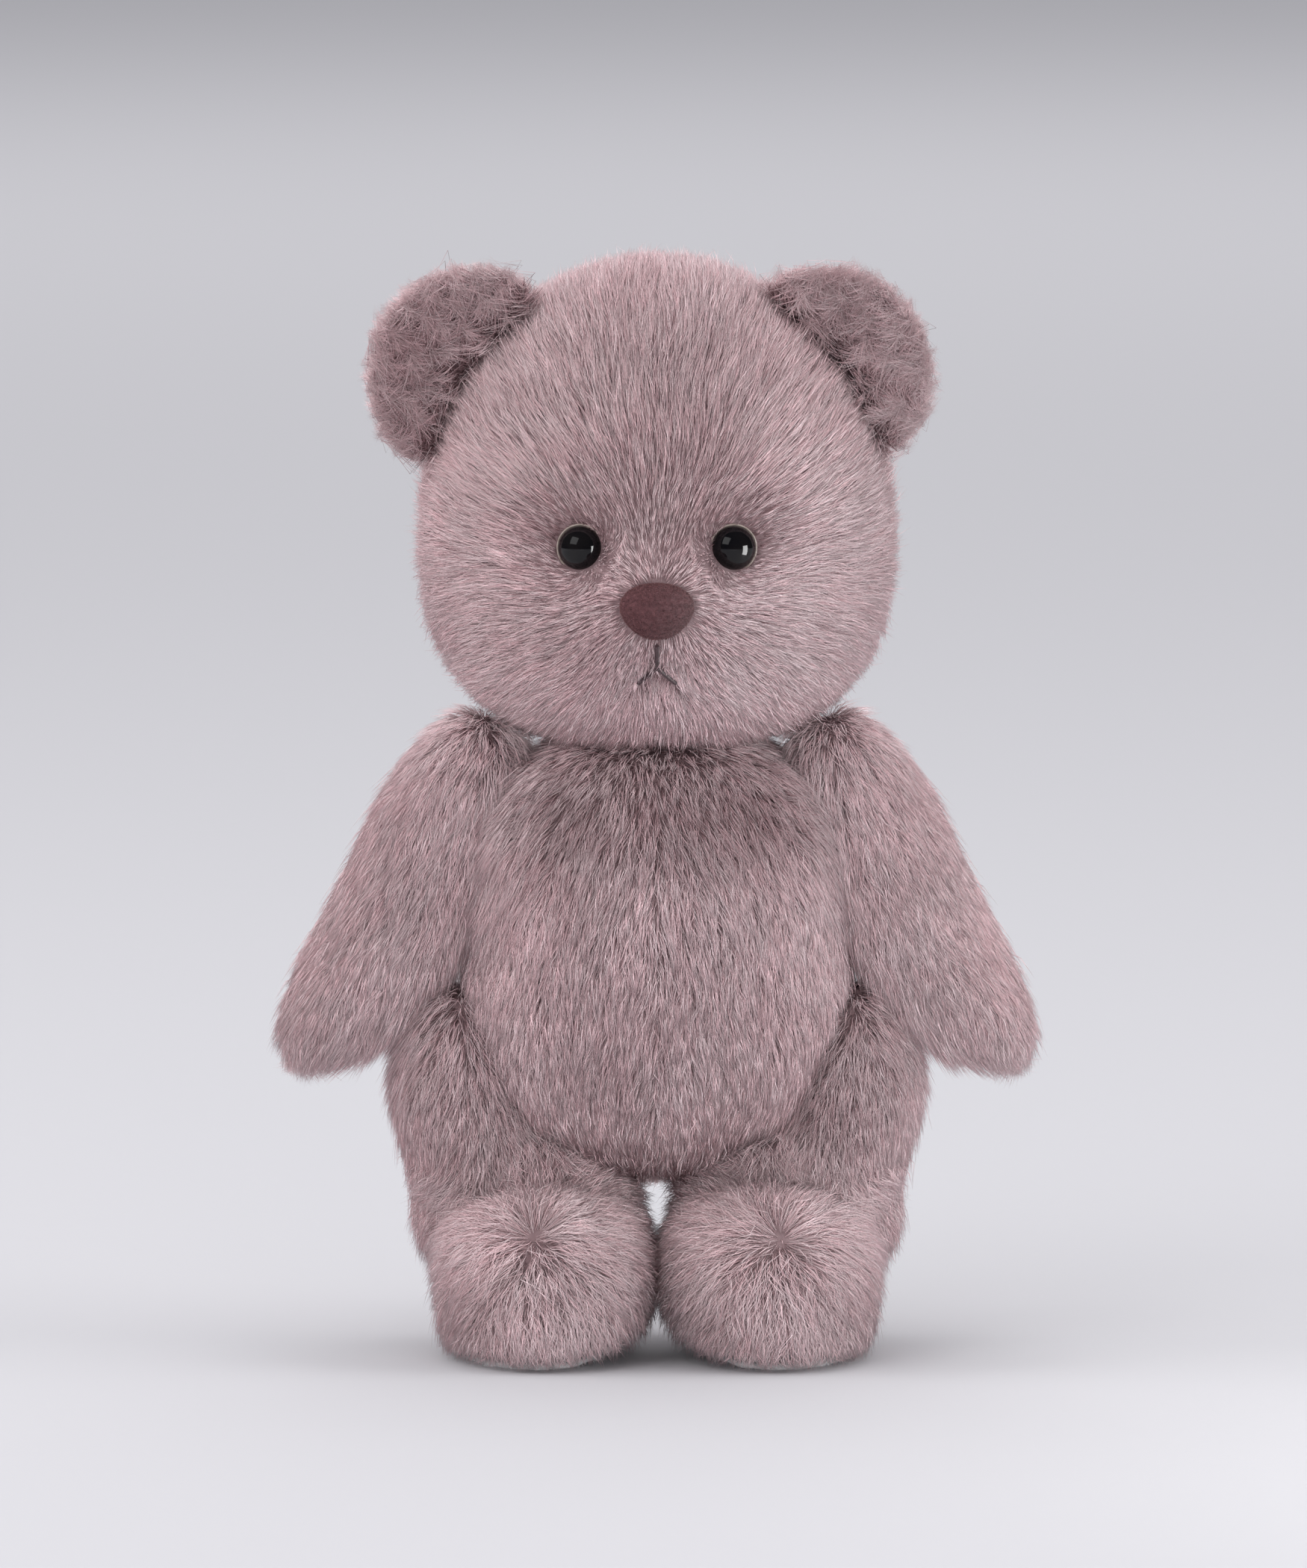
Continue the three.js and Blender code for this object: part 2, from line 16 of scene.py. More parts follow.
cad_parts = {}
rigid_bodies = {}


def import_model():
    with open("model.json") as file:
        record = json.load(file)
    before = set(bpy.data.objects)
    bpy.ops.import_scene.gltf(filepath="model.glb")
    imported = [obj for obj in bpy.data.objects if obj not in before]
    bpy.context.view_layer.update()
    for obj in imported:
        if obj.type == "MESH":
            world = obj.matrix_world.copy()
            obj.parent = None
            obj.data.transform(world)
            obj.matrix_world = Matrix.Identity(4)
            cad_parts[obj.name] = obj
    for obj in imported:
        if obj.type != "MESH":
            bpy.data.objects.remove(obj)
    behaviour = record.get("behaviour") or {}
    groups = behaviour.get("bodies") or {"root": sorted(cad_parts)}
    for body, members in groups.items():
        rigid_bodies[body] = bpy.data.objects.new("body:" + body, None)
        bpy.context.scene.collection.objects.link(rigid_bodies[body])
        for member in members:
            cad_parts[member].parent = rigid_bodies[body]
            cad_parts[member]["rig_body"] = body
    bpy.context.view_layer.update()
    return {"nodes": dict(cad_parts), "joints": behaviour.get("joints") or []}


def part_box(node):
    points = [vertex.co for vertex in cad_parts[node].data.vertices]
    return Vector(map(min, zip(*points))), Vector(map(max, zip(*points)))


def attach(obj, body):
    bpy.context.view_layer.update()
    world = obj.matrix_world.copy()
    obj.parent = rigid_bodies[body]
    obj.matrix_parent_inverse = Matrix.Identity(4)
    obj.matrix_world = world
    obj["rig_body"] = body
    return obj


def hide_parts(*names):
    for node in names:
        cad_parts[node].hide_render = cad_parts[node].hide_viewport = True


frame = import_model()

MM = 0.001
SIDES = {"left": 1, "right": -1}
JOINTS = {joint["name"]: joint for joint in frame["joints"]}

# Skins
SKIN_VOXEL = 3.2 * MM
EAR_VOXEL = 1.6 * MM
BORE_RADIUS = 2.6 * MM  # just over the bores that the CAD skins have for their bolts
SKIN_INSET = 0.8 * MM  # how far the fur's roots lie inside the CAD skin
PRESSURE = 4.0
PRESSURE_FRAMES = 20
PRESSURE_CAP = 1.5 * MM

# Fur
STRAND_SIDES = 3
FACES_A_PIECE = 190000
OVER_RADIUS = 0.085 * MM
UNDER_RADIUS = 0.13 * MM
ROOT_DEPTH = 0.6 * MM
FLOOR_CLEARANCE = 0.4 * MM

CENTRE_Y = JOINTS["neck"]["pos_m"][1]


# ---------------------------------------------------------------- small tools

def middle(node):
    low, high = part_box(node)
    return (low + high) / 2


def unit(vectors):
    length = np.linalg.norm(vectors, axis=-1, keepdims=True)
    return vectors / np.maximum(length, 1e-9)


def smoothstep(low, high, value):
    share = np.clip((value - low) / (high - low), 0, 1)
    return share * share * (3 - 2 * share)


def link(obj):
    bpy.context.scene.collection.objects.link(obj)
    return obj


def points_of(mesh):
    flat = np.zeros(len(mesh.vertices) * 3, np.float32)
    mesh.vertices.foreach_get("co", flat)
    return flat.reshape(-1, 3).astype(float)


def set_points(mesh, points):
    mesh.vertices.foreach_set("co", np.asarray(points, np.float32).ravel())
    mesh.update()


def normals_of(mesh):
    flat = np.zeros(len(mesh.vertices) * 3, np.float32)
    mesh.vertex_normals.foreach_get("vector", flat)
    return flat.reshape(-1, 3).astype(float)


def object_from(name, bm):
    mesh = bpy.data.meshes.new(name)
    bm.to_mesh(mesh)
    bm.free()
    return link(bpy.data.objects.new(name, mesh))


def apply_modifiers(obj):
    graph = bpy.context.evaluated_depsgraph_get()
    mesh = bpy.data.meshes.new_from_object(obj.evaluated_get(graph))
    obj.modifiers.clear()
    obj.data = mesh


def shade_smooth(obj):
    obj.data.polygons.foreach_set("use_smooth", np.ones(len(obj.data.polygons), bool))


# ---------------------------------------------------------------- camera, light and floor

# The picture takes in this height of the bear's middle plane, seen from this far and this high.
VIEW_HEIGHT = 0.4225
VIEW_DISTANCE = 3.5
VIEW_ELEVATION = math.radians(6)
VIEW_TARGET = Vector((-0.0009, -0.01, 0.1555))
SENSOR = 24.0


def make_camera():
    data = bpy.data.cameras.new("camera")
    data.sensor_fit = "VERTICAL"
    data.sensor_height = SENSOR
    data.lens = SENSOR * VIEW_DISTANCE / VIEW_HEIGHT
    data.clip_end = 50
    camera = link(bpy.data.objects.new("camera", data))
    back = Vector((0, -math.cos(VIEW_ELEVATION), math.sin(VIEW_ELEVATION)))
    camera.location = VIEW_TARGET + back * VIEW_DISTANCE
    camera.rotation_euler = back.to_track_quat("Z", "Y").to_euler()
    bpy.context.scene.camera = camera


def softbox(name, place, size, watts, target=(0, 0, 0.15), gleams=False):
    """A rectangular light of that many watts. Only one that gleams shows in what is glossy."""
    data = bpy.data.lights.new(name, "AREA")
    data.shape = "RECTANGLE"
    data.size, data.size_y = size
    data.energy = watts
    light = link(bpy.data.objects.new(name, data))
    light.location = place
    light.rotation_euler = (Vector(place) - Vector(target)).to_track_quat("Z", "Y").to_euler()
    light.visible_glossy = gleams
    return light


def make_lights():
    softbox("key", (-2.0, -2.2, 2.6), (2.4, 2.4), 40, gleams=True)
    softbox("side", (2.6, -0.4, 1.0), (1.6, 1.8), 33)
    softbox("other_side", (-2.8, -0.2, 1.0), (1.6, 1.8), 44)
    softbox("top", (0.1, 0.3, 3.0), (2.0, 2.0), 28)
    softbox("front", (0.2, -3.2, 0.34), (2.4, 0.5), 46)
    softbox("backdrop", (0, 5.4, 3.4), (5, 1.5), 75, target=(0, 4.0, 0))
    face = (0, -0.06, 0.2)
    window = softbox("window", (0.40, -0.22, 0.16), (0.20, 0.30), 4, target=face, gleams=True)
    window.visible_diffuse = False  # it is there for the gleam in the eyes


def make_world():
    world = bpy.data.worlds.new("studio")
    world.use_nodes = True
    background = world.node_tree.nodes["Background"]
    background.inputs["Color"].default_value = (0.88, 0.88, 0.92, 1)
    background.inputs["Strength"].default_value = 0.78
    bpy.context.scene.world = world
    world.cycles_visibility.glossy = False
    bpy.context.scene.view_settings.view_transform = "Standard"


def make_floor():
    bm = bmesh.new()
    bmesh.ops.create_grid(bm, x_segments=2, y_segments=2, size=9)
    floor = object_from("floor", bm)
    floor.data.materials.append(material("floor_paper", (0.54, 0.535, 0.557), 0.8))


# ---------------------------------------------------------------- materials

def material(name, colour, roughness, **sockets):
    """A Principled material; sockets are the shader's own, by name."""
    made = bpy.data.materials.new(name)
    made.use_nodes = True
    shader = made.node_tree.nodes["Principled BSDF"]
    shader.inputs["Base Color"].default_value = (*colour, 1)
    shader.inputs["Roughness"].default_value = roughness
    for socket, value in sockets.items():
        shader.inputs[socket.replace("_", " ")].default_value = value
    return made


def mottled(name, dark, light, scale, roughness, bump=0.0, detail=6, stretch=(1, 1, 1), **sockets):
    """A material whose colour wanders between two colours by noise of a scale in 1/m."""
    made = material(name, dark, roughness, **sockets)
    nodes, links = made.node_tree.nodes, made.node_tree.links
    shader = nodes["Principled BSDF"]
    place = nodes.new("ShaderNodeTexCoord")
    mapping = nodes.new("ShaderNodeMapping")
    mapping.inputs["Scale"].default_value = stretch
    texture = nodes.new("ShaderNodeTexNoise")
    texture.inputs["Scale"].default_value = scale
    texture.inputs["Detail"].default_value = detail
    texture.inputs["Roughness"].default_value = 0.6
    ramp = nodes.new("ShaderNodeValToRGB")
    ramp.color_ramp.elements[0].position = 0.35
    ramp.color_ramp.elements[0].color = (*dark, 1)
    ramp.color_ramp.elements[1].position = 0.68
    ramp.color_ramp.elements[1].color = (*light, 1)
    links.new(place.outputs["Object"], mapping.inputs["Vector"])
    links.new(mapping.outputs["Vector"], texture.inputs["Vector"])
    links.new(texture.outputs["Fac"], ramp.inputs["Fac"])
    links.new(ramp.outputs["Color"], shader.inputs["Base Color"])
    if bump:
        relief = nodes.new("ShaderNodeBump")
        relief.inputs["Strength"].default_value = 0.6
        relief.inputs["Distance"].default_value = bump
        links.new(texture.outputs["Fac"], relief.inputs["Height"])
        links.new(relief.outputs["Normal"], shader.inputs["Normal"])
    return made


# The strands' colours: two dyes, each from dark to pale. A strand is darker at its root.
GREY_MAUVE = ((0.24, 0.150, 0.157), (0.85, 0.685, 0.70))
DUSTY_PINK = ((0.26, 0.143, 0.153), (0.88, 0.63, 0.655))
TONES = 7
UNDER_TONE = 2.7
ROOT_TONE = 3.0
TIP_TONE = 4.7


def tones(name, dark, pale, count, roughness=0.62):
    """Plain materials from dark to pale, for strands. Their colours vary from strand to strand."""
    shares = [number / (count - 1) for number in range(count)]
    return [
        material(f"{name}_{number}", [a + (b - a) * share for a, b in zip(dark, pale)], roughness)
        for number, share in enumerate(shares)
    ]


# ---------------------------------------------------------------- skins

def part_outside(node, fittings):
    """The outside of a hollow CAD skin as a bmesh. The walls of its bores and seats are taken away,
    which parts it from the inside, and the holes that they leave are closed."""
    bm = bmesh.new()
    bm.from_mesh(frame["nodes"][node].data)
    bmesh.ops.remove_doubles(bm, verts=bm.verts, dist=1e-6)
    body = frame["nodes"][node]["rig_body"]
    axes = [
        (Vector(joint["pos_m"]), Vector(joint["axis"]).normalized())
        for joint in JOINTS.values()
        if body in (joint["parent"], joint["child"])
    ]

    def from_axis(point, axis):
        arm = point - axis[0]
        return (arm - arm.dot(axis[1]) * axis[1]).length

    def inside(point, box):
        return box[0].x < point.x < box[1].x and box[0].z < point.z < box[1].z

    margin = Vector((1.3, 0, 1.3)) * MM
    boxes = [(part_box(n)[0] - margin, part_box(n)[1] + margin) for n in fittings]
    walls = [
        face
        for face in bm.faces
        if any(all(from_axis(v.co, axis) < BORE_RADIUS for v in face.verts) for axis in axes)
        or any(all(inside(v.co, box) for v in face.verts) for box in boxes)
    ]
    bmesh.ops.delete(bm, geom=walls, context="FACES")
    outside = largest_part(bm)
    bmesh.ops.delete(bm, geom=[v for v in bm.verts if v not in outside], context="VERTS")
    rim = [edge for edge in bm.edges if edge.is_boundary]
    bmesh.ops.holes_fill(bm, edges=rim, sides=0)
    bmesh.ops.triangulate(bm, faces=bm.faces)
    bmesh.ops.recalc_face_normals(bm, faces=bm.faces)
    return bm


def largest_part(bm):
    """The vertices of the connected part that spans the most."""
    left = set(bm.verts)
    best, best_span = set(), -1
    while left:
        start = left.pop()
        part, to_visit = {start}, [start]
        while to_visit:
            vertex = to_visit.pop()
            for edge in vertex.link_edges:
                other = edge.other_vert(vertex)
                if other in left:
                    left.remove(other)
                    part.add(other)
                    to_visit.append(other)
        co = np.array([v.co for v in part])
        span = np.linalg.norm(co.max(0) - co.min(0))
        if span > best_span:
            best, best_span = part, span
    return best


def remesh(obj, voxel):
    modifier = obj.modifiers.new("remesh", "REMESH")
    modifier.mode = "VOXEL"
    modifier.voxel_size = voxel
    apply_modifiers(obj)


def relax(obj, rounds):
    modifier = obj.modifiers.new("relax", "SMOOTH")
    modifier.factor = 0.5
    modifier.iterations = rounds
    apply_modifiers(obj)


def inflate(obj, distance):
    set_points(obj.data, points_of(obj.data) + normals_of(obj.data) * distance)


def stuff(obj):
    """Swells a closed skin by the pressure of its stuffing, by cloth simulation, and keeps the result.
    No point moves further than PRESSURE_CAP."""
    rest = points_of(obj.data)
    modifier = obj.modifiers.new("cloth", "CLOTH")
    settings = modifier.settings
    settings.use_pressure = True
    settings.uniform_pressure_force = PRESSURE
    settings.effector_weights.gravity = 0
    modifier.point_cache.frame_start = 1
    modifier.point_cache.frame_end = PRESSURE_FRAMES
    scene = bpy.context.scene
    for number in range(1, PRESSURE_FRAMES + 1):
        scene.frame_set(number)
    apply_modifiers(obj)
    scene.frame_set(1)
    move = points_of(obj.data) - rest
    size = np.linalg.norm(move, axis=1, keepdims=True)
    set_points(obj.data, rest + move * np.minimum(1, PRESSURE_CAP / np.maximum(size, 1e-9)))


def subdivide(obj):
    modifier = obj.modifiers.new("subdivide", "SUBSURF")
    modifier.levels = 1
    modifier.render_levels = 1
    apply_modifiers(obj)


def soft_skin(name, node, fittings=()):
    skin = object_from(name, part_outside(node, fittings))
    remesh(skin, SKIN_VOXEL)
    relax(skin, 6)
    inflate(skin, -SKIN_INSET)
    stuff(skin)
    subdivide(skin)
    return skin


# ---------------------------------------------------------------- strands

def sample(skin, count, rng):
    """Random points of a skin with their smooth normals, evenly by area."""
    mesh = skin.data
    mesh.calc_loop_triangles()
    corners = np.zeros(len(mesh.loop_triangles) * 3, np.int32)
    mesh.loop_triangles.foreach_get("vertices", corners)
    corners = corners.reshape(-1, 3)
    points, normals = points_of(mesh), normals_of(mesh)
    a, b, c = (points[corners[:, k]] for k in range(3))
    area = np.linalg.norm(np.cross(b - a, c - a), axis=1)
    which = rng.choice(len(corners), count, p=area / area.sum())
    u, v = rng.random(count), rng.random(count)
    over = u + v > 1
    u[over], v[over] = 1 - u[over], 1 - v[over]
    weights = np.stack([1 - u - v, u, v], axis=1)[:, :, None]
    chosen = corners[which]
    return (points[chosen] * weights).sum(1), unit((normals[chosen] * weights).sum(1))


def wander(points, size, seed):
    """Smooth noise from -1 to 1 at each point, whose features are about that size."""
    shift = Vector((seed * 3.7, seed * 1.3, seed * 2.1))
    return np.array([noise.noise(Vector(p) / size + shift) for p in points])


def locks(roots, share, rng):
    """Which lock each root belongs to, and the roots that lead the locks."""
    leaders = rng.choice(len(roots), max(1, int(len(roots) * share)), replace=False)
    tree = KDTree(len(leaders))
    for i, leader in enumerate(leaders):
        tree.insert(roots[leader], i)
    tree.balance()
    return np.array([tree.find(p)[1] for p in roots]), leaders


def strands(name, places, slots, radius, materials):
    """One mesh of closed tapered strands. places are the strands' points from root to tip, and slots
    hold the material of each stretch between two of them."""
    count = len(places[0])
    axis = unit(places[-1] - places[0])
    across = unit(np.cross(axis, np.array([0.3, 0.8, 0.52])))
    other = np.cross(axis, across)
    angles = np.arange(STRAND_SIDES) * 2 * math.pi / STRAND_SIDES
    ring = across[:, None] * np.cos(angles)[:, None] + other[:, None] * np.sin(angles)[:, None]
    ring *= radius[:, None, None]
    rings = [place[:, None] + ring for place in places[:-1]]
    points = np.concatenate([*rings, places[-1][:, None]], axis=1)
    size = points.shape[1]
    faces, stretch_of = [tuple(reversed(range(STRAND_SIDES)))], [0]
    for stretch in range(len(slots)):
        for k in range(STRAND_SIDES):
            low = stretch * STRAND_SIDES + k
            beside = stretch * STRAND_SIDES + (k + 1) % STRAND_SIDES
            last = stretch == len(slots) - 1
            faces.append((low, beside, size - 1) if last
                         else (low, beside, beside + STRAND_SIDES, low + STRAND_SIDES))
            stretch_of.append(stretch)
    corners = np.concatenate([np.array(face) for face in faces])
    sizes = np.array([len(face) for face in faces])
    loops = (np.arange(count)[:, None] * size + corners[None]).ravel()
    starts = np.concatenate([[0], np.cumsum(np.tile(sizes, count))[:-1]])
    indices = np.stack(slots, axis=1)[:, stretch_of]
    mesh = bpy.data.meshes.new(name)
    mesh.vertices.add(count * size)
    mesh.vertices.foreach_set("co", points.astype(np.float32).ravel())
    mesh.loops.add(len(loops))
    mesh.loops.foreach_set("vertex_index", loops.astype(np.int32))
    mesh.polygons.add(len(starts))
    mesh.polygons.foreach_set("loop_start", starts.astype(np.int32))
    mesh.polygons.foreach_set("material_index", indices.astype(np.int32).ravel())
    mesh.polygons.foreach_set("use_smooth", np.ones(len(starts), bool))
    for made in materials:
        mesh.materials.append(made)
    mesh.update(calc_edges=True)
    return link(bpy.data.objects.new(name, mesh))


def put(name, body, places, slots, radius, materials):
    """Makes the strands of one coat, split from low to high into pieces of at most FACES_A_PIECE."""
    faces_each = 2 * STRAND_SIDES * len(slots) - 2
    order = np.argsort(places[0][:, 2], kind="stable")
    pieces = math.ceil(len(order) * faces_each / FACES_A_PIECE)
    for number, chosen in enumerate(np.array_split(order, pieces)):
        piece = strands(
            f"{name}_{number + 1}" if pieces > 1 else name,
            [place[chosen] for place in places],
            [stretch[chosen] for stretch in slots],
            radius[chosen],
            materials,
        )
        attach(piece, body)


# ---------------------------------------------------------------- fur

class Coat:
    """What a fur field says of each root: which way its strand is combed, how long it is, how steeply
    it rises (in radians), how much it curls, how pale it is (in tones), and how many tones of painted
    shade darken its foot."""

    def __init__(self, count):
        self.comb = np.zeros((count, 3))
        self.length = np.full(count, 13 * MM)
        self.rise = np.full(count, 0.36)
        self.curl = np.full(count, 0.07)
        self.tone = np.zeros(count)
        self.depth = np.zeros(count)
        self.keep = np.ones(count, bool)


def plant(skin, count, field, rng):
    """Roots on a skin with their normals and their coat, less those that the field leaves out."""
    roots, normals = sample(skin, count, rng)
    coat = Coat(count)
    field(coat, roots, normals)
    keep = coat.keep
    for key in ("comb", "length", "rise", "curl", "tone", "depth"):
        setattr(coat, key, getattr(coat, key)[keep])
    return roots[keep], normals[keep], coat


def combed(coat, normals, turn):
    """The directions along the skin that strands are combed in, turned by an angle each."""
    flat = unit(coat.comb - (coat.comb * normals).sum(1, keepdims=True) * normals)
    side = np.cross(normals, flat)
    return flat * np.cos(turn)[:, None] + side * np.sin(turn)[:, None]


def tone_slots(shade, roots, seed, rng):
    """Gives the function that turns a tone into each strand's material: its own shade of that tone, in
    the dye that its neighbourhood has most of."""
    pink = 0.4 * wander(roots, 24 * MM, seed) + 0.5 * wander(roots, 6 * MM, seed + 1)
    dye = np.where(pink + 0.5 * rng.normal(size=len(roots)) > 0.05, TONES, 0)
    return lambda tone: np.clip(np.round(shade + tone), 0, TONES - 1).astype(int) + dye


def under_coat(name, skin, body, count, field, seed):
    """Short straight strands that fill the depth of the fur."""
    rng = np.random.default_rng(seed + 500)
    roots, normals, coat = plant(skin, count, field, rng)
    count = len(roots)
    turn = 0.3 * wander(roots, 13 * MM, seed) + 0.35 * rng.normal(size=count)
    lift = np.clip(coat.rise * (1.25 + 0.3 * rng.normal(size=count)), 0.15, 1.3)
    reach = (coat.length * (0.45 + 0.25 * rng.random(count)))[:, None]
    flat = combed(coat, normals, turn)
    tip = roots + reach * (normals * np.sin(lift)[:, None] + flat * np.cos(lift)[:, None])
    base = roots - normals * ROOT_DEPTH
    for place in (base, tip):
        np.maximum(place[:, 2], FLOOR_CLEARANCE, out=place[:, 2])
    slot_of = tone_slots(coat.tone - coat.depth + 0.6 * rng.normal(size=count), roots, seed + 9, rng)
    put(name, body, [base, tip], [slot_of(UNDER_TONE)], np.full(count, UNDER_RADIUS), FUR)


def over_coat(name, skin, body, count, field, seed, lock_share, clumping):
    """Long fine strands, bent over in the middle, whose tips draw together in locks."""
    rng = np.random.default_rng(seed)
    roots, normals, coat = plant(skin, count, field, rng)
    count = len(roots)
    member, leaders = locks(roots, lock_share, rng)
    turn = 0.28 * wander(roots, 14 * MM, seed) + 0.16 * wander(roots, 5 * MM, seed + 3)
    turn += ((0.08 + 2 * coat.curl[leaders] ** 2) * rng.normal(size=len(leaders)))[member]
    turn += 0.07 * rng.normal(size=count)
    flat = combed(coat, normals, turn)
    side = np.cross(normals, flat)
    length = coat.length * (0.75 + 0.4 * rng.random(count))
    stray = rng.random(count) < 0.05
    rise = np.clip(coat.rise * (1 + 0.25 * rng.normal(size=count)) + 0.25 * stray, 0.12, 1.35)

    def step(lift):
        return (normals * np.sin(lift)[:, None] + flat * np.cos(lift)[:, None]) * (length / 2)[:, None]

    bend = side * (coat.curl * length * rng.normal(size=count))[:, None]
    base = roots - normals * ROOT_DEPTH
    mid = roots + step(rise) + bend
    tip = roots + step(rise) + step(rise * 0.3) - bend * 0.5
    pull = (clumping * (1 - 0.8 * stray) * (0.6 + 0.8 * rng.random(count)))[:, None]
    tip += (tip[leaders][member] - tip) * pull
    mid += (mid[leaders][member] - mid) * (0.4 * pull)
    for place in (base, mid, tip):
        np.maximum(place[:, 2], FLOOR_CLEARANCE, out=place[:, 2])
    shade = coat.tone + 0.7 * wander(roots, 15 * MM, seed + 5)
    shade += (0.45 * rng.normal(size=len(leaders)))[member] + 0.5 * rng.normal(size=count)
    slot_of = tone_slots(shade, roots, seed + 9, rng)
    radius = OVER_RADIUS * (0.8 + 0.4 * rng.random(count))
    slots = [slot_of(ROOT_TONE - coat.depth), slot_of(TIP_TONE)]
    put(name, body, [base, mid, tip], slots, radius, FUR)


def grow(name, skin, body, count, under_count, field, seed, lock_share=0.12, clumping=0.4):
    under_coat(f"{name}_undercoat", skin, body, under_count, field, seed)
    over_coat(name, skin, body, count, field, seed, lock_share, clumping)


def fuzz(name, skin, body, count, length, radius, keep, materials, seed):
    """Short straight fibres that stand up from a surface."""
    rng = np.random.default_rng(seed)
    roots, normals = sample(skin, count, rng)
    kept = keep(roots, normals)
    roots, normals = roots[kept], normals[kept]
    count = len(roots)
    way = unit(normals + 0.35 * rng.normal(size=(count, 3)))
    tip = roots + way * (length * (0.6 + 0.5 * rng.random(count)))[:, None]
    base = roots - normals * (0.2 * length)
    for place in (base, tip):
        np.maximum(place[:, 2], 0, out=place[:, 2])
    tone = rng.integers(0, len(materials), count)
    put(name, body, [base, tip], [tone], np.full(count, radius), materials)


# ---------------------------------------------------------------- the fields of each body

NOSE = middle("nose")
EYES = {word: middle(f"eye_rim_{word}") for word in SIDES}
EYE_RADIUS = (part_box("eye_left")[1].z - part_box("eye_left")[0].z) / 2
EYE_SHORT = 0.4 * MM  # how much smaller the bead is than the CAD eye, so that its rim shows
THREAD_LOW, THREAD_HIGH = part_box("mouth_thread")
FORK = 0.42  # how far up the stitched mouth its two short lines meet
NOSE_CLEAR = (9 * MM, 6.8 * MM)  # half the width and height that the fur leaves free at the nose


def along(points, start):
    return unit(points - np.array(start))


def to_line(points, start, end):
    """The way across from a line in the X-Z plane to each point, and how far it is."""
    flat = points[:, [0, 2]]
    start, end = np.array(start), np.array(end)
    run = end - start
    share = np.clip((flat - start) @ run / (run @ run), 0, 1)
    gap = flat - (start + share[:, None] * run)
    return gap, np.linalg.norm(gap, axis=1)


def part_at_mouth(coat, points):
    """Combs the fur away from the two short lines of the stitched mouth and crops it there, and combs
    it over the upright line. Painted shade darkens the fur along all three lines."""
    low, high = THREAD_LOW.z, THREAD_HIGH.z
    fork = (0, low + FORK * (high - low))
    in_front = points[:, 1] < CENTRE_Y
    ends = [(0, high, -0.35), (THREAD_LOW.x, low, 1), (THREAD_HIGH.x, low, 1)]
    for x, z, depth in ends:
        gap, distance = to_line(points, fork, (x, z))
        near = (1 - smoothstep(0.4 * MM, 2.6 * MM, distance)) * in_front * depth
        near *= 1 - 0.6 * smoothstep(1 * MM, 6 * MM, np.abs(points[:, 0]))
        away = np.stack([gap[:, 0], np.zeros(len(gap)), gap[:, 1]], axis=1)
        coat.comb = unit(coat.comb + unit(away) * (1.4 * near)[:, None])
        coat.length *= 1 - 0.4 * near
        # Painted shade in the parting along the stitches.
        coat.tone -= 2 * np.abs(near)


def clear_of_eye(coat, points, eye):
    """Combs the fur round an eye away from it, short at its rim. Painted shade darkens the fur round the
    eye, more above it and most at its rim.
    """
    arm = points - np.array(eye)
    arm[:, 1] *= 0.4  # counts the fur in front of the eye and behind it as near too
    distance = np.linalg.norm(arm, axis=1)
    away = unit(arm)
    near = 1 - smoothstep(EYE_RADIUS, EYE_RADIUS + 9 * MM, distance)
    brink = 1 - smoothstep(EYE_RADIUS, EYE_RADIUS + 3.5 * MM, distance)
    heading = np.clip(-(coat.comb * away).sum(1), 0, 1)
    coat.comb = unit(coat.comb + away * (near * (0.5 + 2.2 * heading))[:, None])
    coat.length *= 1 - 0.62 * near
    coat.rise += 0.45 * brink
    # Painted shade round the eye, heavier above it and at its rim.
    coat.tone -= 1.3 * near * (0.7 + 0.3 * np.sign(arm[:, 2])) + 1.2 * brink
    coat.keep &= distance > EYE_RADIUS - 0.3 * MM


def head_field(coat, points, normals):
    """Combed out from the bridge of the nose, longer and flatter further out, down at the back."""
    bridge = np.array(NOSE) + np.array([0, 0, 3 * MM])
    from_nose = np.linalg.norm(points - bridge, axis=1)
    across = np.abs(points[:, 0])
    back = points[:, 1] - CENTRE_Y
    above_nose = points[:, 2] - NOSE.z
    cheeks = smoothstep(0.02, 0.06, across) * smoothstep(0.03, -0.01, above_nose)
    coat.comb = along(points, bridge)
    coat.comb[:, 2] -= 1.1 * smoothstep(0.0, 0.05, back)
    coat.comb[:, 2] -= 0.35 * cheeks
    coat.length = (4.5 + 9.5 * smoothstep(0.008, 0.045, from_nose)) * MM
    coat.rise = 0.5 - 0.24 * smoothstep(0.01, 0.04, from_nose)
    coat.curl[:] = 0.04
    face = smoothstep(0, -0.03, back)
    brow = face * np.exp(-(points[:, 0] / 0.03) ** 2) * smoothstep(0.008, 0.02, above_nose)
    chin = face * smoothstep(-0.006, -0.03, above_nose)
    crown = smoothstep(0.262, 0.292, points[:, 2])
    # Painted light makes the chin and the crown paler, and painted shade darkens the brow.
    coat.tone += 1.7 * chin + 1.1 * crown - 0.9 * brow
    for eye in EYES.values():
        clear_of_eye(coat, points, eye)
    part_at_mouth(coat, points)
    at_nose = np.hypot(points[:, 0] / NOSE_CLEAR[0], above_nose / NOSE_CLEAR[1]) < 1
    coat.keep &= ~(at_nose & (back < 0))


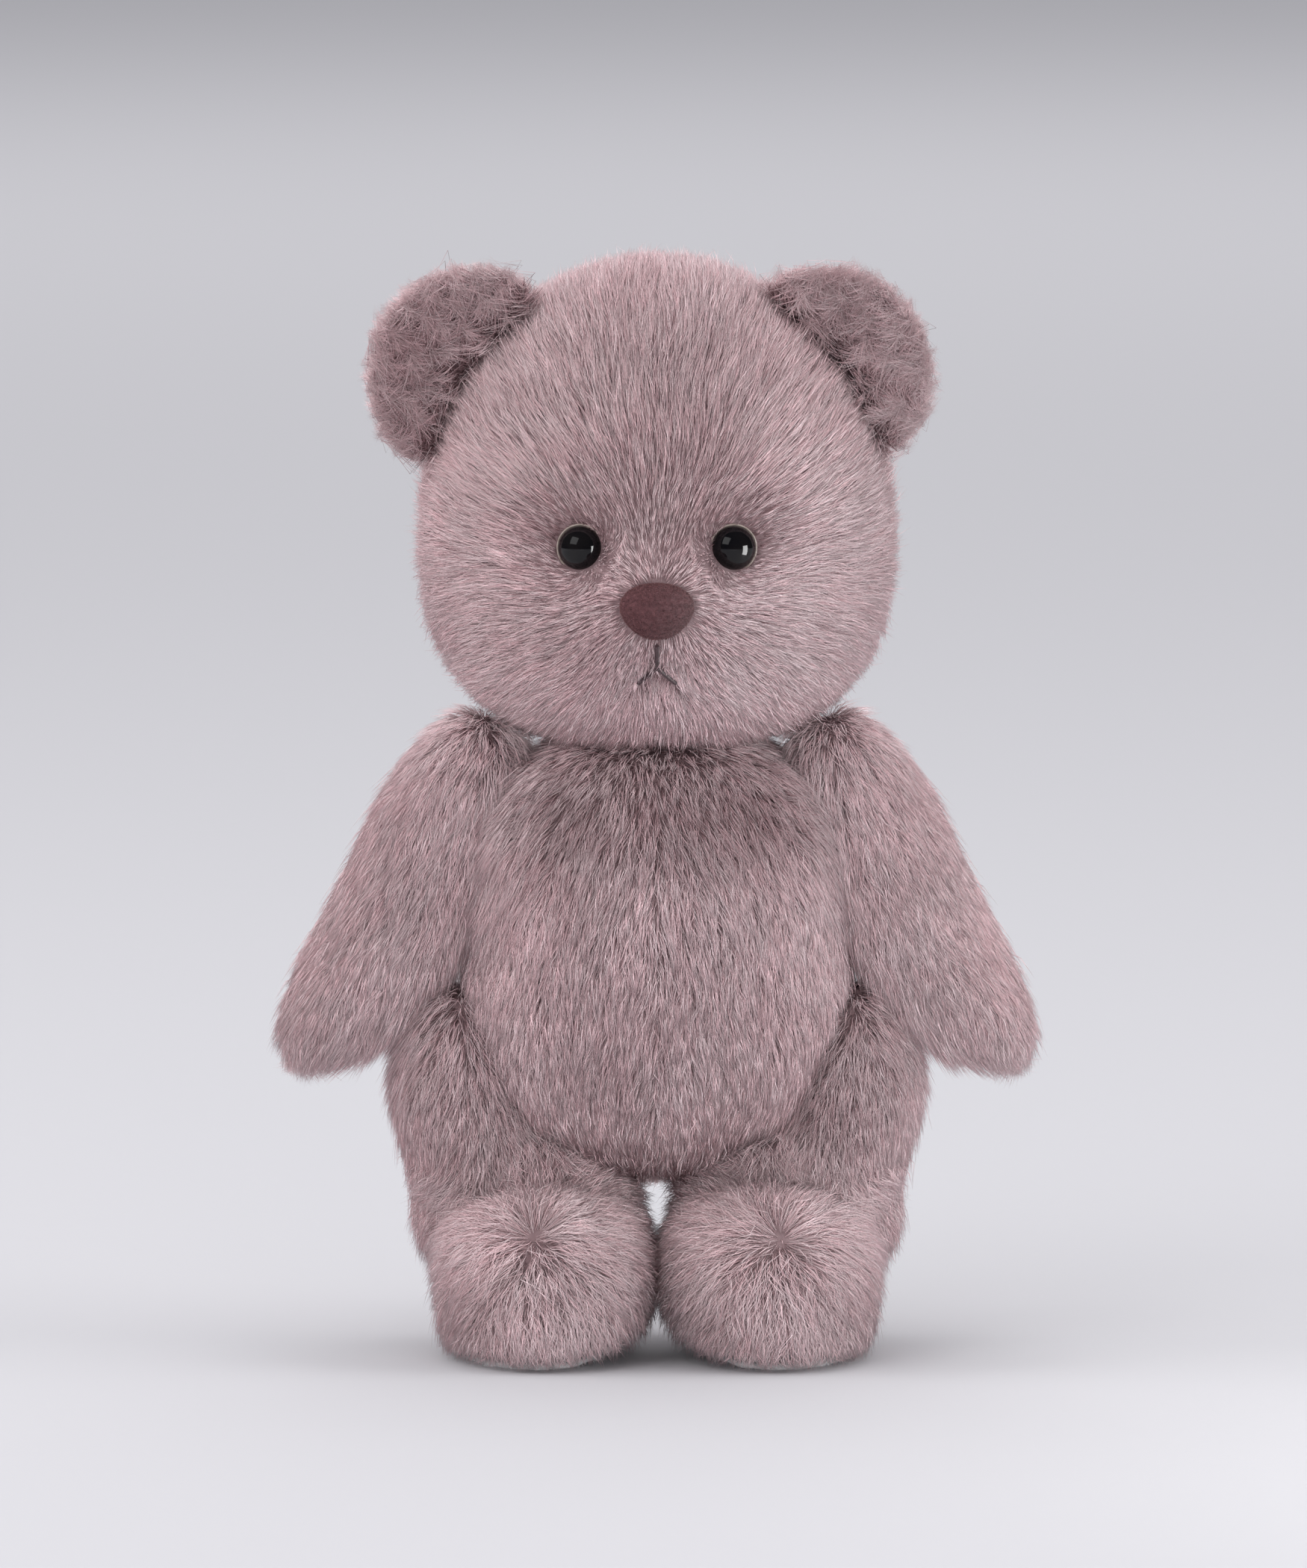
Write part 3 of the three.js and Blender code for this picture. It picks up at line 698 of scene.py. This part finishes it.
def torso_field(coat, points, normals):
    """Combed down from the neck, parted a little at the front seam. It stands up at the shoulders and
    hips, where it fills the gaps to the limbs. It is paler low down and on the flanks, as painted light,
    and darker under the chin, as painted shadow of the head."""
    top = np.array([0, CENTRE_Y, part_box("torso_fur_skin")[1].z + 6 * MM])
    across, height = np.abs(points[:, 0]), points[:, 2]
    seam = np.exp(-(points[:, 0] / 0.02) ** 2) * (points[:, 1] < CENTRE_Y)
    shoulder = smoothstep(0.022, 0.036, across) * smoothstep(0.125, 0.15, height)
    hip = smoothstep(0.026, 0.036, across) * smoothstep(0.115, 0.10, height)
    collar = smoothstep(0.146, 0.162, height)
    coat.comb = along(points, top)
    coat.comb[:, :2] *= 0.5 + 0.9 * smoothstep(0.08, 0.16, height)[:, None]
    coat.comb[:, 2] -= 0.5
    coat.comb[:, 0] += 0.1 * np.sign(points[:, 0]) * seam
    coat.rise += 0.5 * shoulder
    coat.rise += 0.35 * hip
    coat.length *= 1 + 0.3 * shoulder
    coat.length *= 1 - 0.25 * collar * (1 - shoulder)
    # Painted light: the flanks are paler, and low down paler still; painted shadow of the head darkens
    # the chest under the chin.
    coat.tone += 0.8 * smoothstep(0.02, 0.034, across)
    coat.tone += 2.0 * smoothstep(0.09, 0.06, height) - 0.4 - 1.6 * smoothstep(0.13, 0.15, height)


def arm_field(side):
    """Combed down the arm from the shoulder. It stands up on the inside, where it meets the torso."""
    low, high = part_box("arm_left_fur_skin")
    shoulder = np.array([side * (low.x + 8 * MM), CENTRE_Y, high.z + 2 * MM])
    down = unit(np.array([side * 0.42, -0.06, -0.9]))

    def field(coat, points, normals):
        inner = smoothstep(0.3, 0.9, -side * normals[:, 0])
        outer = smoothstep(0.3, 0.9, side * normals[:, 0])
        coat.comb = along(points, shoulder) + 0.9 * down
        coat.rise += 0.5 * inner
        coat.rise -= 0.08 * outer
        coat.length *= 1 + 0.2 * inner
        coat.length *= 1 - 0.2 * smoothstep(0.16, 0.17, points[:, 2])
    return field


WHORL = Vector((0.033, -0.043, 0.041))  # where the fur of the left foot parts in a star


def leg_field(side):
    """Combed down the thigh, and out from a star on the foot. It is short over the sole's inner edge,
    and none grows under the foot."""
    whorl = np.array([side * WHORL.x, WHORL.y, WHORL.z])

    def field(coat, points, normals):
        outward, height = side * normals[:, 0], points[:, 2]
        star = along(points, whorl)
        star[:, 2] -= 0.45
        star += 0.5 * np.stack([wander(points, 9 * MM, 70 + k) for k in range(3)], axis=1)
        down = np.tile([side * 0.12, -0.1, -1.0], (len(points), 1))
        on_foot = 1 - smoothstep(0.038, 0.052, height - 0.25 * (points[:, 1] - WHORL.y))
        inner = smoothstep(0.3, 0.9, -outward) * smoothstep(0.012, 0.03, height)
        outer = smoothstep(0.3, 0.9, outward)
        ankle = np.exp(-((height - 0.040) / 0.010) ** 2) * outer
        hem = 1 - smoothstep(0.004, 0.016, height)
        hem *= 1 - smoothstep(0.020, 0.030, side * points[:, 0])
        coat.comb = star * on_foot[:, None] + down * (1 - on_foot)[:, None]
        coat.comb[:, 2] -= 1.2 * ankle
        coat.rise += 0.12 * on_foot
        coat.rise += 0.5 * inner
        coat.rise += (0.25 * smoothstep(0.06, 0.08, height) - 0.1) * outer
        coat.rise += 0.3 * ankle
        coat.curl += 0.05 * on_foot
        # Painted shade: the front of the thigh above the foot is darker.
        coat.tone -= 0.8 * (1 - on_foot) * smoothstep(0.3, 0.8, -normals[:, 1])
        coat.length *= 1 - 0.5 * hem
        coat.keep &= ~((normals[:, 2] < -0.6) & (height < 0.014))
    return field


def ear_field(word):
    """Curly inside the ear, straighter round its edge and behind. Painted shade darkens the inside of the
    ear, most at the strands' feet, so that its edge and back are paler.
    """
    base = np.array([SIDES[word] * 0.030, CENTRE_Y, middle(f"ear_{word}").z - 14 * MM])

    def field(coat, points, normals):
        inside = smoothstep(0.25, 0.75, -normals[:, 1])
        coat.comb = along(points, base)
        coat.length = (9 + inside) * MM
        coat.rise = 0.6 + 0.15 * inside
        coat.curl = 0.12 + 0.3 * inside
        # Painted shade inside the ear, darker still at the strands' feet.
        coat.tone -= 2.5 * inside
        coat.depth = 1.3 * inside
    return field


# ---------------------------------------------------------------- face, feet and fittings

def axis_frame(node):
    """The centre of a flat ring that faces the front, and the way that it faces."""
    points = points_of(frame["nodes"][node].data)
    centre = (points.max(0) + points.min(0)) / 2
    way = np.linalg.svd(points - points.mean(0), full_matrices=False)[2][2]
    way *= -np.sign(way[1])
    return centre, way


def along_and_out(points, centre, way):
    """How far points lie along an axis from its centre, and how far out from it."""
    arm = points - centre
    forward = arm @ way
    return forward, np.linalg.norm(arm - forward[:, None] * way, axis=1)


def turned(name, profile, centre, way, steps=64):
    """A closed solid turned from a profile of (out, along) points. It starts and ends on the axis, or
    stays clear of it and closes on itself."""
    bm = bmesh.new()
    angles = np.arange(steps) * 2 * math.pi / steps
    rings = [
        [bm.verts.new((r * math.cos(t), r * math.sin(t), z)) for t in (angles if r else angles[:1])]
        for r, z in profile
    ]
    if profile[0][0]:
        rings.append(rings[0])
    for low, high in zip(rings, rings[1:]):
        for k in range(steps):
            after = (k + 1) % steps
            below = [low[k % len(low)], low[after % len(low)]]
            above = [high[after % len(high)], high[k % len(high)]]
            bm.faces.new(dict.fromkeys(below + above))
    bmesh.ops.recalc_face_normals(bm, faces=bm.faces)
    spin = Vector(way).to_track_quat("Z", "Y").to_matrix().to_4x4()
    bmesh.ops.transform(bm, matrix=Matrix.Translation(Vector(centre)) @ spin, verts=bm.verts)
    piece = object_from(name, bm)
    shade_smooth(piece)
    return piece


def dome(radius, height, rings=14):
    """Half an ellipse's outline, from its top on the axis to its edge."""
    angles = np.linspace(math.pi / 2, 0, rings + 1)
    return [(0 if k == 0 else radius * math.cos(a), height * math.sin(a)) for k, a in enumerate(angles)]


def make_eye(word):
    """A domed black eye on its shank."""
    centre, way = axis_frame(f"eye_rim_{word}")
    forward, out = along_and_out(points_of(frame["nodes"][f"eye_{word}"].data), centre, way)
    radius, height, back = out.max() - EYE_SHORT, forward.max(), forward.min()
    shank = out[forward < back + 1 * MM].max()
    shoulder = forward[out > 0.9 * radius].min()
    edge = [(radius * 0.97, shoulder * 0.8), (radius * 0.9, shoulder)]
    stem = [(shank, shoulder), (shank, back), (0, back)]
    eye = turned(f"eye_{word}_bead", dome(radius, height) + edge + stem, centre, way)
    eye.data.materials.append(EYE_BLACK)
    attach(eye, "head")
    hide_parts(f"eye_{word}")
    make_rim(word, centre, way, radius, shank)


def make_rim(word, centre, way, radius, shank):
    """The thin ring with a rounded lip that an eye of that radius sits in."""
    lip = 0.25 * MM
    rim = points_of(frame["nodes"][f"eye_rim_{word}"].data)
    depth = along_and_out(rim, centre, way)[0].min()
    inner = radius + 0.1 * MM
    bore = shank + 0.4 * MM
    turns = np.linspace(0, math.pi, 9)
    edge = [(inner + lip * (1 + math.cos(t)), lip * math.sin(t) + lip / 2) for t in turns]
    back = [(inner, depth / 2), (bore, depth / 2), (bore, depth), (radius + lip, depth)]
    ring = turned(f"eye_{word}_rim", edge + back, centre, way)
    ring.data.materials.append(RIM_BROWN)
    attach(ring, "head")
    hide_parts(f"eye_rim_{word}")


def fine_copy(name, node, voxel, rounds):
    """A smoothed, finely divided copy of a CAD node's mesh."""
    bm = bmesh.new()
    bm.from_mesh(frame["nodes"][node].data)
    bmesh.ops.remove_doubles(bm, verts=bm.verts, dist=1e-6)
    piece = object_from(name, bm)
    remesh(piece, voxel)
    relax(piece, rounds)
    shade_smooth(piece)
    return piece


def make_nose():
    """A moulded nose with flock all over its front."""
    nose = fine_copy("nose_flocked", "nose", 0.7 * MM, 6)
    nose.data.materials.append(FLOCK_BASE)
    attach(nose, "head")
    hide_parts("nose")

    def front(points, normals):
        return points[:, 1] < NOSE.y + 3 * MM

    fuzz("nose_flock", nose, "head", 16000, 0.5 * MM, 0.055 * MM, front, FLOCK, 51)


def make_sole(word):
    """A sole pad with a short pile on its top and sides; its underside lies flat on the floor."""
    sole = fine_copy(f"sole_pad_{word}_cloth", f"sole_pad_{word}", 0.8 * MM, 3)
    sole.data.materials.append(SOLE_BASE)
    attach(sole, f"leg_{word}")
    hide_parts(f"sole_pad_{word}")

    def sides(points, normals):
        return (normals[:, 2] > -0.8) | (points[:, 2] > 1.5 * MM)

    name = f"sole_pad_{word}_pile"
    fuzz(name, sole, f"leg_{word}", 9000, 1.8 * MM, 0.07 * MM, sides, SOLE, 61)


def make_ear(word):
    """A flat stuffed ear, furred all over."""
    ear = fine_copy(f"ear_{word}_skin", f"ear_{word}", EAR_VOXEL, 8)
    inflate(ear, -0.6 * MM)
    ear.data.materials.append(SHADED_BACKING)
    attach(ear, "head")
    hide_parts(f"ear_{word}")
    grow(f"ear_{word}_fur", ear, "head", 15000, 9000, ear_field(word), 42 + SIDES[word], 0.03, 0.5)


def seat_eye(skin, word):
    """Presses a skin back behind an eye's rim, as the eye's washer draws it in."""
    centre, way = axis_frame(f"eye_rim_{word}")
    points = points_of(skin.data)
    forward, out = along_and_out(points, centre, way)
    held = 1 - smoothstep(EYE_RADIUS - 0.5 * MM, EYE_RADIUS + 3 * MM, out)
    sink = np.clip(forward + 0.6 * MM, 0, 2 * MM) * held
    set_points(skin.data, points - sink[:, None] * way)


def make_skin(body, fittings=()):
    """The soft skin that stands for a body's CAD skin. The fittings sit in seats of their own in it."""
    skin = soft_skin(f"{body}_skin", f"{body}_fur_skin", fittings)
    if body == "head":
        for word in SIDES:
            seat_eye(skin, word)
    skin.data.materials.append(SHADED_BACKING)
    shade_smooth(skin)
    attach(skin, body)
    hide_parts(f"{body}_fur_skin")
    return skin


def finish_fittings():
    """Gives the CAD nodes that stay as they are their materials, by the words in their names."""
    steel = mottled("zinc_plated_steel", (0.50, 0.51, 0.52), (0.66, 0.67, 0.68), 900, 0.34,
                    bump=0.02 * MM, stretch=(1, 1, 9), Metallic=1.0)
    board = mottled("pressed_board", (0.20, 0.125, 0.065), (0.36, 0.245, 0.14), 700, 0.85, bump=0.1 * MM)
    fibre = mottled("polyester_fibre", (0.72, 0.71, 0.68), (0.92, 0.91, 0.88), 260, 0.95, bump=0.8 * MM)
    moulded = mottled("moulded_plastic", (0.66, 0.65, 0.61), (0.76, 0.75, 0.71), 500, 0.5, bump=0.02 * MM)
    thread = mottled("stranded_thread", (0.022, 0.011, 0.013), (0.075, 0.040, 0.046), 1500, 0.7,
                     bump=0.15 * MM, stretch=(1, 1, 0.3))
    finishes = [
        ("stuffing", fibre), ("eye_washer", moulded), ("nose_washer", moulded),
        ("mouth_thread", thread), ("insole_board", board), ("disc", board),
        ("washer", steel), ("bolt", steel), ("nut", steel),
    ]
    for name, node in frame["nodes"].items():
        made = next((finish for word, finish in finishes if word in name), None)
        if made:
            for slot in node.material_slots:
                slot.material = made


# ---------------------------------------------------------------- build

make_camera()
make_lights()
make_world()
make_floor()

FUR = tones("fur_grey", *GREY_MAUVE, TONES) + tones("fur_pink", *DUSTY_PINK, TONES)
FLOCK = tones("flock_fibre", (0.045, 0.015, 0.017), (0.20, 0.082, 0.086), 5, 0.8)
SOLE = tones("sole_fibre", (0.46, 0.45, 0.46), (0.74, 0.73, 0.74), 4, 0.8)
# The backing cloth is coloured as dark as the shade down among the roots: painted shade between the
# strands.
SHADED_BACKING = mottled("shaded_backing", (0.13, 0.078, 0.083), (0.24, 0.16, 0.167), 220, 0.9, bump=0.6 * MM)
EYE_BLACK = mottled("eye_black", (0.003, 0.003, 0.004), (0.007, 0.006, 0.006), 90, 0.04,
                    Specular_IOR_Level=0.25)
RIM_BROWN = mottled("brown_rim", (0.24, 0.19, 0.165), (0.40, 0.335, 0.30), 600, 0.3, bump=0.02 * MM)
FLOCK_BASE = mottled("flock_base", (0.055, 0.021, 0.024), (0.12, 0.050, 0.055), 900, 0.95, bump=0.3 * MM)
SOLE_BASE = mottled("sole_cloth", (0.44, 0.43, 0.44), (0.62, 0.61, 0.62), 600, 0.95, bump=0.3 * MM)

finish_fittings()
for word in SIDES:
    make_eye(word)
    make_sole(word)
make_nose()

head_skin = make_skin("head", ("eye_left", "eye_right", "nose"))
grow("head_fur", head_skin, "head", 105000, 50000, head_field, 11, 0.2, 0.3)
grow("torso_fur", make_skin("torso"), "torso", 66000, 32000, torso_field, 12)
for word, side in SIDES.items():
    arm, leg = make_skin(f"arm_{word}"), make_skin(f"leg_{word}")
    grow(f"arm_{word}_fur", arm, f"arm_{word}", 30000, 15000, arm_field(side), 20 + side)
    grow(f"leg_{word}_fur", leg, f"leg_{word}", 40000, 20000, leg_field(side), 30 + side, 0.18, 0.3)
    make_ear(word)
